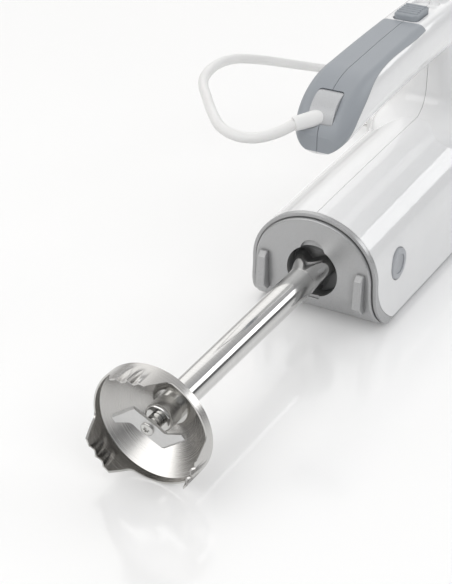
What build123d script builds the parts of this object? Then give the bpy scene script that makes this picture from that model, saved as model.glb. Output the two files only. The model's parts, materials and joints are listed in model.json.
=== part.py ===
from build123d import *
import math
import os

os.makedirs("parts", exist_ok=True)

# Hand mixer with an immersion-blender foot in its rear port. Millimetres, +Z up, +Y towards the nose.
# The origin is on the table, midway between the two beater sockets.
# Stations are distances ahead of the rear cover's face, along the motor axis.

# Driving dimensions of the whole
SOCKET_STATION = 165.0
BELL_RADIUS = 32.5
AXIS_Z = BELL_RADIUS
WALL = 2.4
SEAM_GAP = 0.3
SHADOW_GAP = 0.3
RUN_FIT = 0.05
SLIDE_GAP = 0.4
FAR = 600.0

# Body: half widths and crown heights above the motor axis at the rear, the middle and the nose
BODY_REAR_STATION = -1.0
BODY_MID_STATION = 70.0
NOSE_STATION = 160.0
NOSE_REACH = 41.0
NOSE_CENTRE_Z = 27.0
NOSE_BLUNTNESS = 2.4
NOSE_STEPS = 9
NOSE_LAST_ANGLE = 76.0
BODY_REAR = (38.8, 35.2)
BODY_MID = (39.6, 37.6)
BODY_FRONT = (40.0, 39.4)
BODY_BASE_Z = 1.0
SIDE_FLARE = 2.6
BASE_CORNER = 4.0
BASE_SPLIT_Z = 4.0

# Handle: half width, crown, widest height and underside above the motor axis
BAR_REAR_STATION = 45.0
BAR_MID_STATION = 100.0
BAR_FRONT_STATION = 160.0
BAR_REAR = (19.0, 108.5, 76.5)
BAR_MID = (18.2, 111.1, 78.4)
BAR_FRONT = (18.0, 111.5, 79.0)
HANDLE_CORNER = 8.0
TAIL_REACH = 43.0
TAIL_MIDDLE = 75.0
TAIL_DROOP = 3.5
TAIL_BLUNTNESS = 4
TAIL_LAST_ANGLE = 78.0
FRONT_REACH = 34.0
FRONT_MIDDLE = 93.0
FRONT_BLUNTNESS = 3
FRONT_LAST_ANGLE = 76.0
END_STEPS = 9

# Pillar: height above the axis, half width, rear and front stations, corner radius
PILLAR = [
    (8.0, 31.0, 112.0, 190.0, 24.0),
    (25.0, 30.5, 119.0, 190.0, 23.0),
    (36.0, 29.0, 130.0, 190.5, 21.0),
    (42.0, 26.5, 147.5, 190.5, 17.0),
    (49.0, 23.5, 152.6, 190.5, 14.5),
    (58.0, 20.5, 154.0, 190.0, 13.0),
    (70.0, 17.5, 154.5, 188.0, 11.0),
    (89.0, 14.0, 155.0, 184.0, 11.0),
]

# Rear cover: its lower half sweeps forward to the base
COVER_SWEEP = 22.0
COVER_SWEEP_DROP = 10.0
COVER_RIM = 4.6
COVER_TOP_RISE = 50.0
COVER_PLATE = 3.0
COVER_STEP = 1.8
COVER_BORDER = 2.6
SHELL_SWEEP = 29.0
SHELL_SWEEP_DROP = 2.5
COVER_EDGE = 1.2
COVER_GROOVE = (0.7, 0.8)
GROOVE_OVERLAP = 0.3
PORT_RADIUS = 15.8
PORT_LOBE_RADIUS = 7.6
PORT_LOBE_RISE = 12.5
PORT_LOBE_DEPTH = 2.0
NOTCH_WIDTH = 8.0
NOTCH_DEPTH = 1.8
RIB_OFFSET = 30.2
RIB_WIDTH = 5.0
RIB_EDGE = 0.8
RIB_SIDE = [(1.8, 6.4), (-1.4, 6.4), (-4.2, 3.6), (-5.8, -13.6), (-1.6, -18.4), (1.8, -18.4)]
SLEEVE_WALL = 2.2
SLEEVE_END_STATION = 35.0
SLEEVE_END_WALL = 2.0
SLEEVE_END_GAP = 1.0
SLEEVE_SEAT_STATION = 29.0

# Soft grip on the handle
GRIP_DEPTH = 1.4
GRIP_GAP = 0.15
GRIP_EDGE = [
    (-12.0, 62.0),
    (0.0, 70.0),
    (6.0, 77.0),
    (11.0, 83.6),
    (16.5, 90.2),
    (26.5, 97.6),
    (37.0, 103.2),
    (50.0, 106.2),
    (80.0, 107.8),
    (112.0, 108.6),
]

# Cord gland in the tail
GLAND_STATION = 13.4
GLAND_RISE = 95.2
GLAND_TILT = 43.0
GLAND_WIDTH = 14.6
GLAND_LENGTH = 20.4
GLAND_DEPTH = 9.0
GLAND_CROWN = 3.8
GLAND_LIP = -0.5
GLAND_CLEARANCE = 0.3
GLAND_CORNER = 1.8
GLAND_OPEN = 20.0
RELIEF_ROOT = (1.8, 13.8, 91.4)
RELIEF_ROOT_RADIUS = 4.8
RELIEF_TIP_RADIUS = 4.0

# Release buttons in the sides of the body
BUTTON_STATION = 31.7
BUTTON_RISE = 0.2
BUTTON_RADIUS = 9.3
BUTTON_FACE_X = 39.9
BUTTON_DISH_RADIUS = 6.0
BUTTON_DISH = 0.5
BUTTON_STEP = 0.6
BUTTON_EDGE = 0.8
BUTTON_FLANGE = 1.6
BUTTON_FLANGE_THICK = 2.0
BUTTON_FLANGE_X = 33.8
BUTTON_TRAVEL = 3.0
STEM_RADIUS = 3.6
STEM_TIP_X = 25.0
SEAT_X = 21.3
SEAT_RADIUS = 7.0
SPRING_RADIUS = 5.0
SPRING_WIRE = 0.6
SPRING_PITCH = 2.4
SPRING_GAP = 0.05

# Motor
SHAFT_RADIUS = 3.5
SHAFT_REAR_STATION = 46.0
SHAFT_FRONT_STATION = 186.0
STATOR_HALF_WIDTH = 28.0
STATOR_HALF_HEIGHT = 25.0
STATOR_CORNER = 8.0
STATOR_REAR_STATION = 80.0
STATOR_LENGTH = 26.0
ARMATURE_RADIUS = 16.5
ARMATURE_SLOTS = 12
SLOT_WIDTH = 2.2
SLOT_DEPTH = 5.5
AIR_GAP = 0.7
WINDOW_HALF_WIDTH = 24.5
WINDOW_HALF_HEIGHT = 7.5
COIL_INNER = 19.0
COIL_OUTER = 24.0
COIL_OVERHANG = 5.0
COIL_SPLIT = 1.0
COIL_CLEARANCE = 0.3
WINDING_RADIUS = 14.0
WINDING_LENGTH = 5.0
COMMUTATOR_RADIUS = 9.0
COMMUTATOR_LENGTH = 9.0
BRUSH_WIDTH = 6.0
BRUSH_HEIGHT = 7.0
BRUSH_LENGTH = 12.0
BRUSH_GAP = 0.1
BRUSH_SETBACK = 4.2
BAR_GAP = 0.6
HOLDER_START = 12.0
HOLDER_WALL = 1.5
HOLDER_REACH = 27.0
BRACKET_THICK = 4.0
REAR_BRACKET_STATION = 58.0
FRONT_BRACKET_STATION = 126.0
BRACKET_HALF_WIDTH = 29.0
BRACKET_HALF_HEIGHT = 26.0
BRACKET_CORNER = 14.0
BRACKET_FOOT_HALF = 15.0
BRACKET_BOSS_RADIUS = 10.0
BRACKET_WINDOW_RADIUS = 23.0
POST_RADIUS = 3.0
POST_X = 23.5
POST_Z = 20.0
BEARING_RADIUS = 6.5
BEARING_LENGTH = 6.0
FAN_RADIUS = 24.0
FAN_STATION = 113.5
FAN_LENGTH = 8.0
FAN_DISC = 1.6
FAN_HUB_RADIUS = 7.0
FAN_BLADES = 11
FAN_BLADE_THICK = 1.3
FAN_SWEEP = 20.0

# Drive to the foot
DRIVE_SOCKET_RADIUS = 7.5
DRIVE_SOCKET_STATION = 34.0
DRIVE_SOCKET_LENGTH = 20.0
DRIVE_POCKET = 11.0
HEX_RADIUS = 3.8
HEX_CLEARANCE = 0.35

# Beater gears
WORM_RADIUS = 4.2
THREAD_HEIGHT = 2.0
THREAD_ROOT = 1.8
THREAD_TIP = 1.0
THREAD_SINK = 0.4
GEAR_TEETH = 14
GEAR_PITCH_RADIUS = 13.8
GEAR_ADDENDUM = 0.7
GEAR_DEDENDUM = 2.4
GEAR_TOOTH = 1.5
ROOT_SHARE = 0.8
TIP_SHARE = 0.45
GEAR_HEIGHT = 7.0
WORM_LENGTH = 33.0
THREAD_TURNS = 4
SOCKET_OFFSET = 19.0
SOCKET_RADIUS = 6.4
SOCKET_BORE = 4.05
SOCKET_MOUTH_Z = 0.4
SOCKET_TOP_Z = 55.0
SOCKET_SHOULDER_Z = 42.0
BOSS_WALL = 3.0
BOSS_TOP_Z = 18.0
HUB_RADIUS = 9.0
HUB_BOTTOM_GAP = 0.2
BRIDGE_Z = 52.0
BRIDGE_THICK = 3.0
BRIDGE_HALF_X = 26.0
BRIDGE_HALF_Y = 19.5
BRIDGE_CORNER = 13.0
BRIDGE_POST_X = 12.0
BRIDGE_POST_Y = 16.5
BRIDGE_POST_RADIUS = 2.5
BRIDGE_FRONT_POST_Z = 7.4
LUG_STATION = 182.0
LUG_LENGTH = 5.0
LUG_HALF_WIDTH = 7.0
LUG_BOTTOM_Z = 25.0

# Base cover
PAD_HALF_X = 32.0
PAD_HALF_Y = 19.0
PAD_CORNER = 14.0
VENT_COUNT = 7
VENT_PITCH = 7.0
VENT_WIDTH = 3.0
VENT_LENGTH = 44.0
VENT_STATION = 92.0

# Beater ejector and speed switch
EJECT_ROD_RADIUS = 3.0
EJECT_PIN_RADIUS = 2.6
EJECT_PLATE_Z = 67.0
EJECT_PLATE_THICK = 3.0
EJECT_PLATE_HALF_Y = 5.0
EJECT_PLATE_MARGIN = 4.0
EJECT_TIP_Z = 47.0
EJECT_BUTTON_RADIUS = 8.0
EJECT_BUTTON_BASE = 104.5
EJECT_BUTTON_TOP = 115.5
EJECT_EDGE = 1.2
EJECT_PITCH = 2.8
SWITCH_STATION = 124.0
SWITCH_TRAVEL = 16.0
SWITCH_KNOB = (15.0, 20.0, 5.0)
SWITCH_KNOB_CORNER = 3.0
SWITCH_RIDGES = 5
SWITCH_RIDGE_PITCH = 3.2
SWITCH_RIDGE_RADIUS = 0.9
SWITCH_POCKET_FLOOR = 109.8
SWITCH_POCKET_SIDE = 0.8
SWITCH_FLOAT = 0.1
SWITCH_STEM = (5.0, 8.0)
SWITCH_STEM_DEPTH = 9.0
MODULE_SIZE = (14.0, 46.0, 12.0)
MODULE_BOTTOM = 91.7
MODULE_GROOVE_DEPTH = 7.0

# Foot
TUBE_BELL_RADIUS = 7.65
TUBE_PORT_RADIUS = 8.5
TUBE_WALL = 1.3
TUBE_FRONT_STATION = -148.5
FLARE_STATION = -14.0
FLARE_END_STATION = 8.0
FLARE_STEP = 0.08
FLARE_RADIUS = 11.9
FLARE_LOBING = 0.22
FLARE_LOBES = 3
FLARE_SECTIONS = 6
FLARE_POINTS = 24
LOBE_TURN = 30.0
HEAD_RADIUS = 15.5
HEAD_LENGTH = 23.0
HEAD_SPIGOT = 8.0
HEAD_GROOVE = 1.6
HEAD_GROOVE_WIDTH = 5.0
DOG_STATION = 22.0
DOG_LENGTH = 22.0
DOG_SEAT = 10.0
BELL_BACK_STATION = -147.0
BELL_CREASE_STATION = -166.0
BELL_EDGE_STATION = -181.5
BELL_SHORT_STATION = -170.5
BELL_WALL = 0.9
BELL_HUB_RADIUS = 8.6
BELL_LOBES = 3
BELL_LOBE_ANGLE = 98.0
LOBE_ROOT_HALF = 30.5
LOBE_TIP_HALF = 18.5
SCALLOP_SPARE = 4.0
SCALLOP_CORNER = 4.0
FLUTE_TURN = 5.6
FLUTE_AXIS_RADIUS = 34.2
FLUTE_EDGE_RADIUS = 3.3
FLUTE_CREASE_RADIUS = 0.8
HUB_COLLAR_RADIUS = 9.6
HUB_COLLAR_LENGTH = 3.0
HUB_NOSE_RADIUS = 7.9
HUB_NOSE_STATION = -164.0
HUB_EDGE = 0.8
HUB_NOSE_EDGE = 2.0
SEAL_LENGTH = 2.0
HUB_SPIGOT = 6.0
ROD_RADIUS = 2.5
BLADE_STATION = -170.8
BLADE_THICK = 1.6
BLADE_HALF = [(-8.6, 9.4), (-21.2, 0.2), (-18.8, -2.8), (-9.6, 0.2), (-5.5, -2.5)]
BLADE_BEND = 4.0
BLADE_GRIND = 1.1
NECK_RADIUS = 4.0
NECK_GROOVES = (-166.3, -168.6)
NECK_GROOVE = (0.5, 0.9)
SCREW_HEAD_RADIUS = 3.5
SCREW_HEAD_HEIGHT = 2.4
SCREW_SHANK_RADIUS = 1.4
SCREW_SHANK_LENGTH = 5.0
SCREW_RECESS_RADIUS = 1.5
SCREW_RECESS_DEPTH = 1.4

# Housing screws: station, height above the axis, outer end of the bosses, seat of the head
SCREW_SPOTS = [(44.0, -23.6, 39.8, 14.0), (140.0, -23.6, 40.8, 14.0), (60.0, 90.0, 16.5, 6.0)]
HOUSING_SCREW_RADIUS = 1.6
HOUSING_SCREW_BITE = 8.0
HOUSING_SCREW_HEAD = (3.0, 2.4)
SCREW_BOSS_RADIUS = 4.4
SCREW_HOLE_RADIUS = 3.3

# Cord: points of the free stretch, as X, station and height above the axis
CORD_DIAMETER = 6.0
CORD_ROUTE = [
    (-12.0, -1.0, 88.5),
    (-22.2, -12.0, 86.35),
    (-36.7, -17.6, 84.6),
    (-52.1, -16.2, 83.2),
    (-65.4, -8.2, 82.0),
    (-79.6, 13.6, 79.6),
    (-95.9, 50.1, 74.5),
    (-107.0, 100.0, 64.0),
    (-113.0, 148.0, 50.0),
    (-112.0, 196.0, 33.0),
    (-104.0, 242.0, 14.0),
    (-88.0, 286.0, -5.0),
    (-64.0, 322.0, -19.0),
    (-34.0, 344.8, -27.6),
    (2.0, 345.0, -28.1),
]
RUN_SHARE = 0.45
COIL_CENTRE = (10.0, 302.0)
COIL_RADIUS = 43.0
COIL_PITCH = 7.0
COIL_TURNS = 3.5
COIL_FOLD_TURN = 1.75
COIL_CLIMB_HALF = 0.25
COIL_STEP = 0.25
COIL_SAMPLES = 1600
COIL_LIFT = 1.4
TIE_X = 47.75
TIE_BUNDLE = (13.0, 13.0)
TIE_GAP = 0.5
TIE_WALL = 0.9
TIE_LENGTH = 8.0
TIE_CORNER = 3.0
PLUG_X = -46.0
PLUG_LENGTH = 36.0
PLUG_WIDTH = 26.0
PLUG_NECK_WIDTH = 12.0
PLUG_THICK = 13.6
PLUG_EDGE = 2.5
PLUG_SHOULDER = 14.0
PIN_RADIUS = 2.0
PIN_LENGTH = 19.0
PIN_SPACING = 18.6


def at(station):
    return station - SOCKET_STATION


def up(rise):
    return AXIS_Z + rise


def cross_plane(station):
    return Plane(origin=(0, at(station), 0), x_dir=(1, 0, 0), z_dir=(0, -1, 0))


def rod(radius, start, end, x=0.0, z=AXIS_Z):
    """Round bar along the motor axis between two stations."""
    return Pos(x, at((start + end) / 2), z) * Rot(90, 0, 0) * Cylinder(radius, abs(end - start))


def post(radius, low, high, x, y):
    """Upright round bar."""
    return Pos(x, y, (low + high) / 2) * Cylinder(radius, high - low)


def slab(x0, x1, y0, y1, z0, z1):
    """Block between two corners."""
    return Pos((x0 + x1) / 2, (y0 + y1) / 2, (z0 + z1) / 2) * Box(x1 - x0, y1 - y0, z1 - z0)


def side_profile(points_and_edges):
    """Face in the seam plane from edges drawn as (station, height)."""
    plane = Plane(origin=(0, at(0), 0), x_dir=(0, 1, 0), z_dir=(1, 0, 0))
    return plane * make_face(points_and_edges)


def across(face, half_width):
    return extrude(face, half_width, both=True)


# Outer and inner form of the housing


def body_section(station, size, base, scale=1.0, inset=0.0):
    """Arched cross-section with upright sides that flare to the base."""
    axis = NOSE_CENTRE_Z + (AXIS_Z - NOSE_CENTRE_Z) * scale
    width = (size[0] - inset) * scale
    crown = NOSE_CENTRE_Z + (up(size[1]) - inset - NOSE_CENTRE_Z) * scale
    low = NOSE_CENTRE_Z - (NOSE_CENTRE_Z - base - inset) * scale
    corner = BASE_CORNER * scale
    foot = width + SIDE_FLARE * scale
    arch = EllipticalCenterArc((0, axis), width, crown - axis, 0, arc_size=180)
    side = TangentArc((width, axis), (foot, low + corner), tangent=(0, -1))
    turn = TangentArc(side @ 1, (foot - corner, low), tangent=side % 1)
    sole = Line(turn @ 1, (corner - foot, low))
    left = [mirror(side, about=Plane.YZ), mirror(turn, about=Plane.YZ)]
    return cross_plane(station) * make_face([arch, side, turn, sole] + left)


def body_form(inset):
    """Straight stretch of the body and its rounded nose."""
    rows = [
        (BODY_REAR_STATION, BODY_REAR),
        (BODY_MID_STATION, BODY_MID),
        (NOSE_STATION, BODY_FRONT),
    ]
    straight = loft([body_section(s, size, BODY_BASE_Z, inset=inset) for s, size in rows])
    caps = []
    for step in range(NOSE_STEPS):
        reach = math.sin(math.radians(NOSE_LAST_ANGLE * step / (NOSE_STEPS - 1)))
        scale = (1 - reach**NOSE_BLUNTNESS) ** (1 / NOSE_BLUNTNESS)
        station = NOSE_STATION + (NOSE_REACH - inset) * reach
        caps.append(body_section(station, BODY_FRONT, BODY_BASE_Z, scale, inset))
    return straight + loft(caps)


def handle_section(station, width, crown, middle, low, inset):
    """Flat-topped cross-section with rounded shoulders and an oval underside."""
    half = width - inset
    corner = min(HANDLE_CORNER, RUN_SHARE * half)
    top = up(crown) - inset
    mid = up(middle)
    line = Line((corner - half, top), (half - corner, top))
    shoulder = EllipticalCenterArc((half - corner, mid), corner, top - mid, 0, arc_size=90)
    under = EllipticalCenterArc((0, mid), half, mid - up(low) - inset, 180, arc_size=180)
    return cross_plane(station) * make_face([line, shoulder, under, mirror(shoulder, about=Plane.YZ)])


def handle_end(station, size, reach, middle, blunt, last_angle, droop, inset):
    """Rounded end of the handle, closing from a full section towards its tip."""
    width, crown, low = size
    sections = []
    for step in range(END_STEPS):
        angle = math.radians(last_angle * step / (END_STEPS - 1))
        run = math.sin(angle)
        high = middle + (crown - middle) * math.cos(angle)
        deep = middle - (middle - low) * math.cos(angle) - droop * run**2
        half = (width - inset) * (1 - run**blunt) ** (1 / blunt) + inset
        place = station + (abs(reach) - inset) * math.copysign(run, reach)
        sections.append(handle_section(place, half, high, (high + deep) / 2, deep, inset))
    return loft(sections)


def handle_form(inset):
    rows = [
        (BAR_REAR_STATION, BAR_REAR),
        (BAR_MID_STATION, BAR_MID),
        (BAR_FRONT_STATION, BAR_FRONT),
    ]
    bar = loft([handle_section(s, w, c, (c + d) / 2, d, inset) for s, (w, c, d) in rows])
    tail_shape = (TAIL_MIDDLE, TAIL_BLUNTNESS, TAIL_LAST_ANGLE, TAIL_DROOP)
    tail = handle_end(BAR_REAR_STATION, BAR_REAR, -TAIL_REACH, *tail_shape, inset)
    front_shape = (FRONT_MIDDLE, FRONT_BLUNTNESS, FRONT_LAST_ANGLE, 0.0)
    front = handle_end(BAR_FRONT_STATION, BAR_FRONT, FRONT_REACH, *front_shape, inset)
    return tail + bar + front


def pillar_form(inset):
    sections = []
    for rise, half, rear, front, corner in PILLAR:
        outline = RectangleRounded(2 * (half - inset), front - rear - 2 * inset, corner - inset)
        sections.append(Plane.XY.offset(up(rise)) * Pos(0, at((rear + front) / 2)) * outline)
    return loft(sections)


def cover_region(sweep, drop, setback):
    """Everything behind a line that is upright above and sweeps forward to the base."""
    turn_z = up(-drop)
    roof = up(COVER_TOP_RISE)
    low = turn_z - sweep
    start = (setback, turn_z)
    arc = TangentArc(start, (setback + sweep, low), tangent=(0, -1))
    edges = [
        Line((setback, roof), start),
        arc,
        Line(arc @ 1, (setback + sweep, -FAR)),
        Line((setback + sweep, -FAR), (-FAR, -FAR)),
        Line((-FAR, -FAR), (-FAR, roof)),
        Line((-FAR, roof), (setback, roof)),
    ]
    return across(side_profile(edges), FAR)


def write(shape, name):
    shape.label = name
    export_step(shape, f"parts/{name}.step")


body_outer = body_form(0.0)
handle_outer = handle_form(0.0)
pillar_outer = pillar_form(0.0)
outer = body_outer + (pillar_outer + handle_outer)
inner = body_form(WALL) + (pillar_form(WALL) + handle_form(WALL))
behind_cover_face = cover_region(COVER_SWEEP, COVER_SWEEP_DROP, 0.0)
behind_cover_step = cover_region(COVER_SWEEP, COVER_SWEEP_DROP, COVER_STEP)
behind_shell = cover_region(SHELL_SWEEP, SHELL_SWEEP_DROP, COVER_RIM)
behind_shell_gap = cover_region(SHELL_SWEEP, SHELL_SWEEP_DROP, COVER_RIM + SHADOW_GAP)
below_split = slab(-FAR, FAR, -FAR, FAR, -FAR, BASE_SPLIT_Z)
below_shell = slab(-FAR, FAR, -FAR, FAR, -FAR, BASE_SPLIT_Z + SHADOW_GAP)

# Grip, gland and strain relief


def grip_zone(grow):
    """Everything above the grip's border, which runs down to the tail's end."""
    line = Spline([(s, up(rise) - grow) for s, rise in GRIP_EDGE])
    front, rear = GRIP_EDGE[-1][0], GRIP_EDGE[0][0]
    roof = up(FAR)
    edges = [
        line,
        Line(line @ 1, (front + grow, roof)),
        Line((front + grow, roof), (rear, roof)),
        Line((rear, roof), line @ 0),
    ]
    return across(side_profile(edges), FAR)


grip_skin = (handle_outer - handle_form(GRIP_DEPTH)) & grip_zone(0.0)
grip_recess = (handle_outer - handle_form(GRIP_DEPTH + GRIP_GAP)) & grip_zone(GRIP_GAP)

tilt = math.radians(GLAND_TILT)
gland_plane = Plane(
    origin=(0, at(GLAND_STATION), up(GLAND_RISE)),
    x_dir=(1, 0, 0),
    z_dir=(0, -math.sin(tilt), math.cos(tilt)),
)


def gland_block(grow, high):
    outline = RectangleRounded(GLAND_WIDTH + 2 * grow, GLAND_LENGTH + 2 * grow, GLAND_CORNER + grow)
    return extrude(gland_plane.offset(-GLAND_DEPTH - grow) * outline, GLAND_DEPTH + grow + high)


drum_drop = GLAND_CROWN - GLAND_LIP
drum_radius = ((GLAND_LENGTH / 2) ** 2 + drum_drop**2) / (2 * drum_drop)
drum = gland_plane * Pos(0, 0, GLAND_CROWN - drum_radius) * Rot(0, 90, 0) * Cylinder(drum_radius, FAR)
gland = gland_block(0.0, GLAND_LIP) + (gland_block(0.0, GLAND_CROWN) & drum)
gland_recess = gland_block(GLAND_CLEARANCE, GLAND_OPEN)

cord_points = [Vector(x, at(s), up(rise)) for x, s, rise in CORD_ROUTE]
relief_root = Vector(RELIEF_ROOT[0], at(RELIEF_ROOT[1]), up(RELIEF_ROOT[2]))
relief_way = cord_points[0] - relief_root


def relief_cone(grow):
    plane = Plane(origin=relief_root, z_dir=relief_way)
    cone = Cone(RELIEF_ROOT_RADIUS + grow, RELIEF_TIP_RADIUS + grow, relief_way.length)
    return plane * Pos(0, 0, relief_way.length / 2) * cone


relief = relief_cone(0.0)
gland -= relief
relief_room = relief_cone(GLAND_CLEARANCE)

# Half shells

button_z = up(BUTTON_RISE)
button_y = at(BUTTON_STATION)


def cross_rod(radius, x0, x1, y, z):
    """Round bar along X."""
    return Pos((x0 + x1) / 2, y, z) * Rot(0, 90, 0) * Cylinder(radius, abs(x1 - x0))


shell = outer - inner - behind_shell_gap - below_shell
for station, rise, reach, seat in SCREW_SPOTS:
    shell += cross_rod(SCREW_BOSS_RADIUS, -reach, reach, at(station), up(rise))
for station, rise, reach, seat in SCREW_SPOTS:
    shell -= cross_rod(HOUSING_SCREW_RADIUS, -reach, HOUSING_SCREW_BITE, at(station), up(rise))
    shell -= cross_rod(SCREW_HOLE_RADIUS, -FAR, -seat, at(station), up(rise))
shell -= cross_rod(BUTTON_RADIUS + SLIDE_GAP, -FAR, FAR, button_y, button_z)
shell -= grip_recess
shell -= gland_recess
shell -= relief_room

knob_x, knob_y, knob_z = SWITCH_KNOB
pocket_x = knob_x + 2 * SWITCH_POCKET_SIDE
pocket_y = knob_y + SWITCH_TRAVEL + 2 * SWITCH_POCKET_SIDE
pocket_mid = at(SWITCH_STATION + SWITCH_TRAVEL / 2)
pocket_corner = SWITCH_KNOB_CORNER + SWITCH_POCKET_SIDE
pocket = Pos(0, pocket_mid, up(SWITCH_POCKET_FLOOR)) * RectangleRounded(pocket_x, pocket_y, pocket_corner)
shell -= extrude(pocket, FAR)
stem_x, stem_y = SWITCH_STEM
slot_x = stem_x / 2 + SLIDE_GAP
slot_y = (stem_y + SWITCH_TRAVEL) / 2 + SLIDE_GAP
shell -= slab(-slot_x, slot_x, pocket_mid - slot_y, pocket_mid + slot_y, up(MODULE_BOTTOM), up(FAR))
shell -= post(EJECT_BUTTON_RADIUS + SLIDE_GAP, up(MODULE_BOTTOM), up(FAR), 0, 0)
seam = SEAM_GAP / 2
write(shell & slab(-FAR, -seam, -FAR, FAR, -FAR, FAR), "housing_left")
write(shell & slab(seam, FAR, -FAR, FAR, -FAR, FAR), "housing_right")

grip = grip_skin - gland_recess - relief_room
write(grip & slab(-FAR, -seam, -FAR, FAR, -FAR, FAR), "grip_left")
write(grip & slab(seam, FAR, -FAR, FAR, -FAR, FAR), "grip_right")
write(gland, "cord_gland")
write(relief, "strain_relief")

head_radius, head_height = HOUSING_SCREW_HEAD
screws = []
for station, rise, reach, seat in SCREW_SPOTS:
    shank = cross_rod(HOUSING_SCREW_RADIUS, -seat, HOUSING_SCREW_BITE, at(station), up(rise))
    screws.append(shank + cross_rod(head_radius, -seat - head_height, -seat, at(station), up(rise)))
write(Compound(screws), "housing_screws")

# Rear cover with the keyhole port and its guide sleeve

rim = (body_outer & behind_shell) - behind_cover_step
plate_form = body_form(COVER_BORDER)
groove_wide, groove_deep = COVER_GROOVE
groove = body_form(COVER_BORDER - groove_wide) - body_form(COVER_BORDER + GROOVE_OVERLAP)
rim -= groove & cover_region(COVER_SWEEP, COVER_SWEEP_DROP, COVER_STEP + groove_deep)
face_plate = (plate_form & behind_shell) - behind_cover_face
front_edges = []
for kind in (GeomType.PLANE, GeomType.CYLINDER):
    front_edges += face_plate.faces().filter_by(kind).sort_by(Axis.Y)[0].edges()
face_plate = fillet(ShapeList(front_edges).filter_by(Axis.X, reverse=True), COVER_EDGE)
behind_cover_plate = cover_region(COVER_SWEEP, COVER_SWEEP_DROP, COVER_PLATE)
cover_room = body_form(WALL) - behind_cover_plate
cover = rim + face_plate - cover_room
rib_edges = Polyline(*[(s, up(rise)) for s, rise in RIB_SIDE], close=True)
rib = across(side_profile(rib_edges.edges()), RIB_WIDTH / 2)
rib = fillet(rib.edges().filter_by_position(Axis.Y, -FAR, at(RIB_SIDE[0][0]) - RIB_EDGE), RIB_EDGE)
for side in (-1, 1):
    cover += Pos(side * RIB_OFFSET, 0, 0) * rib
cover -= rod(PORT_RADIUS, -FAR, SLEEVE_END_STATION)
cover -= rod(PORT_LOBE_RADIUS, -FAR, PORT_LOBE_DEPTH, 0, up(PORT_LOBE_RISE))
notch_half = NOTCH_WIDTH / 2
notch_floor = AXIS_Z - PORT_RADIUS - NOTCH_DEPTH
cover -= slab(-notch_half, notch_half, -FAR, at(PORT_LOBE_DEPTH), notch_floor, AXIS_Z)
write(cover, "rear_cover")

sleeve_back = SLEEVE_END_STATION + SLEEVE_END_WALL
sleeve = rod(PORT_RADIUS + SLEEVE_WALL, COVER_PLATE, sleeve_back)
sleeve -= rod(PORT_RADIUS, COVER_PLATE, SLEEVE_END_STATION)
sleeve -= rod(DRIVE_SOCKET_RADIUS + SLEEVE_END_GAP, SLEEVE_END_STATION, sleeve_back)
for side in (-1, 1):
    seat = cross_rod(SEAT_RADIUS, side * PORT_RADIUS, side * SEAT_X, at(SLEEVE_SEAT_STATION), button_z)
    sleeve += seat - rod(PORT_RADIUS + SLEEVE_WALL / 2, -FAR, FAR)
sleeve -= behind_cover_plate
write(sleeve, "port_sleeve")

# Release buttons


def spring_wire(radius, wire, pitch, length):
    path = Helix(pitch, length - 2 * wire, radius)
    return Pos(0, 0, wire) * sweep(Plane(path @ 0, z_dir=path % 0) * Circle(wire), path, is_frenet=True)


def button(side):
    flange_in = BUTTON_FLANGE_X - BUTTON_FLANGE_THICK
    cap = cross_rod(BUTTON_RADIUS, BUTTON_FLANGE_X, BUTTON_FACE_X, button_y, button_z)
    rim_edge = cap.faces().sort_by(Axis.X)[-1].edges()
    cap = fillet(rim_edge, BUTTON_EDGE)
    dish_face = BUTTON_FACE_X - BUTTON_STEP
    dish_radius = (BUTTON_DISH_RADIUS**2 + BUTTON_DISH**2) / (2 * BUTTON_DISH)
    dish = Pos(dish_face - BUTTON_DISH + dish_radius, button_y, button_z) * Sphere(dish_radius)
    dish &= cross_rod(BUTTON_DISH_RADIUS, dish_face - BUTTON_DISH, dish_face, button_y, button_z)
    dish += cross_rod(BUTTON_DISH_RADIUS, dish_face, BUTTON_FACE_X, button_y, button_z)
    flange = cross_rod(BUTTON_RADIUS + BUTTON_FLANGE, flange_in, BUTTON_FLANGE_X, button_y, button_z)
    stem = cross_rod(STEM_RADIUS, STEM_TIP_X, flange_in, button_y, button_z)
    solid = cap - dish + flange + stem
    return solid if side > 0 else mirror(solid, about=Plane.YZ)


button_coil_length = BUTTON_FLANGE_X - BUTTON_FLANGE_THICK - SEAT_X - BUTTON_TRAVEL - SPRING_GAP
button_coil = spring_wire(SPRING_RADIUS, SPRING_WIRE, SPRING_PITCH, button_coil_length)
coil_start = SEAT_X + BUTTON_TRAVEL
for side, name in ((-1, "left"), (1, "right")):
    write(button(side), f"release_button_{name}")
    placed = Pos(coil_start, button_y, button_z) * Rot(0, 90, 0) * button_coil
    write(placed if side > 0 else mirror(placed, about=Plane.YZ), f"button_spring_{name}")

# Base cover

base = (outer & below_split) - behind_shell_gap
pad = Plane.XY * RectangleRounded(2 * PAD_HALF_X, 2 * PAD_HALF_Y, PAD_CORNER)
base += extrude(pad, BASE_SPLIT_Z)
for side in (-1, 1):
    x = side * SOCKET_OFFSET
    base += post(SOCKET_RADIUS + BOSS_WALL, BODY_BASE_Z, BOSS_TOP_Z, x, 0)
for side in (-1, 1):
    base -= post(SOCKET_RADIUS + RUN_FIT, -FAR, FAR, side * SOCKET_OFFSET, 0)
for count in range(VENT_COUNT):
    x = (count - (VENT_COUNT - 1) / 2) * VENT_PITCH
    slot = Pos(x, at(VENT_STATION), 0) * Rot(0, 0, 90) * SlotOverall(VENT_LENGTH, VENT_WIDTH)
    base -= extrude(slot, BOSS_TOP_Z)
write(base, "base_cover")

# Motor, fixed half

stator_front = STATOR_REAR_STATION + STATOR_LENGTH


def axis_prism(outline, start, end):
    """Outline drawn about the motor axis, carried from one station to another."""
    plane = Plane(origin=(0, at(start), AXIS_Z), x_dir=(1, 0, 0), z_dir=(0, -1, 0))
    return extrude(plane * outline, start - end)


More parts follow.
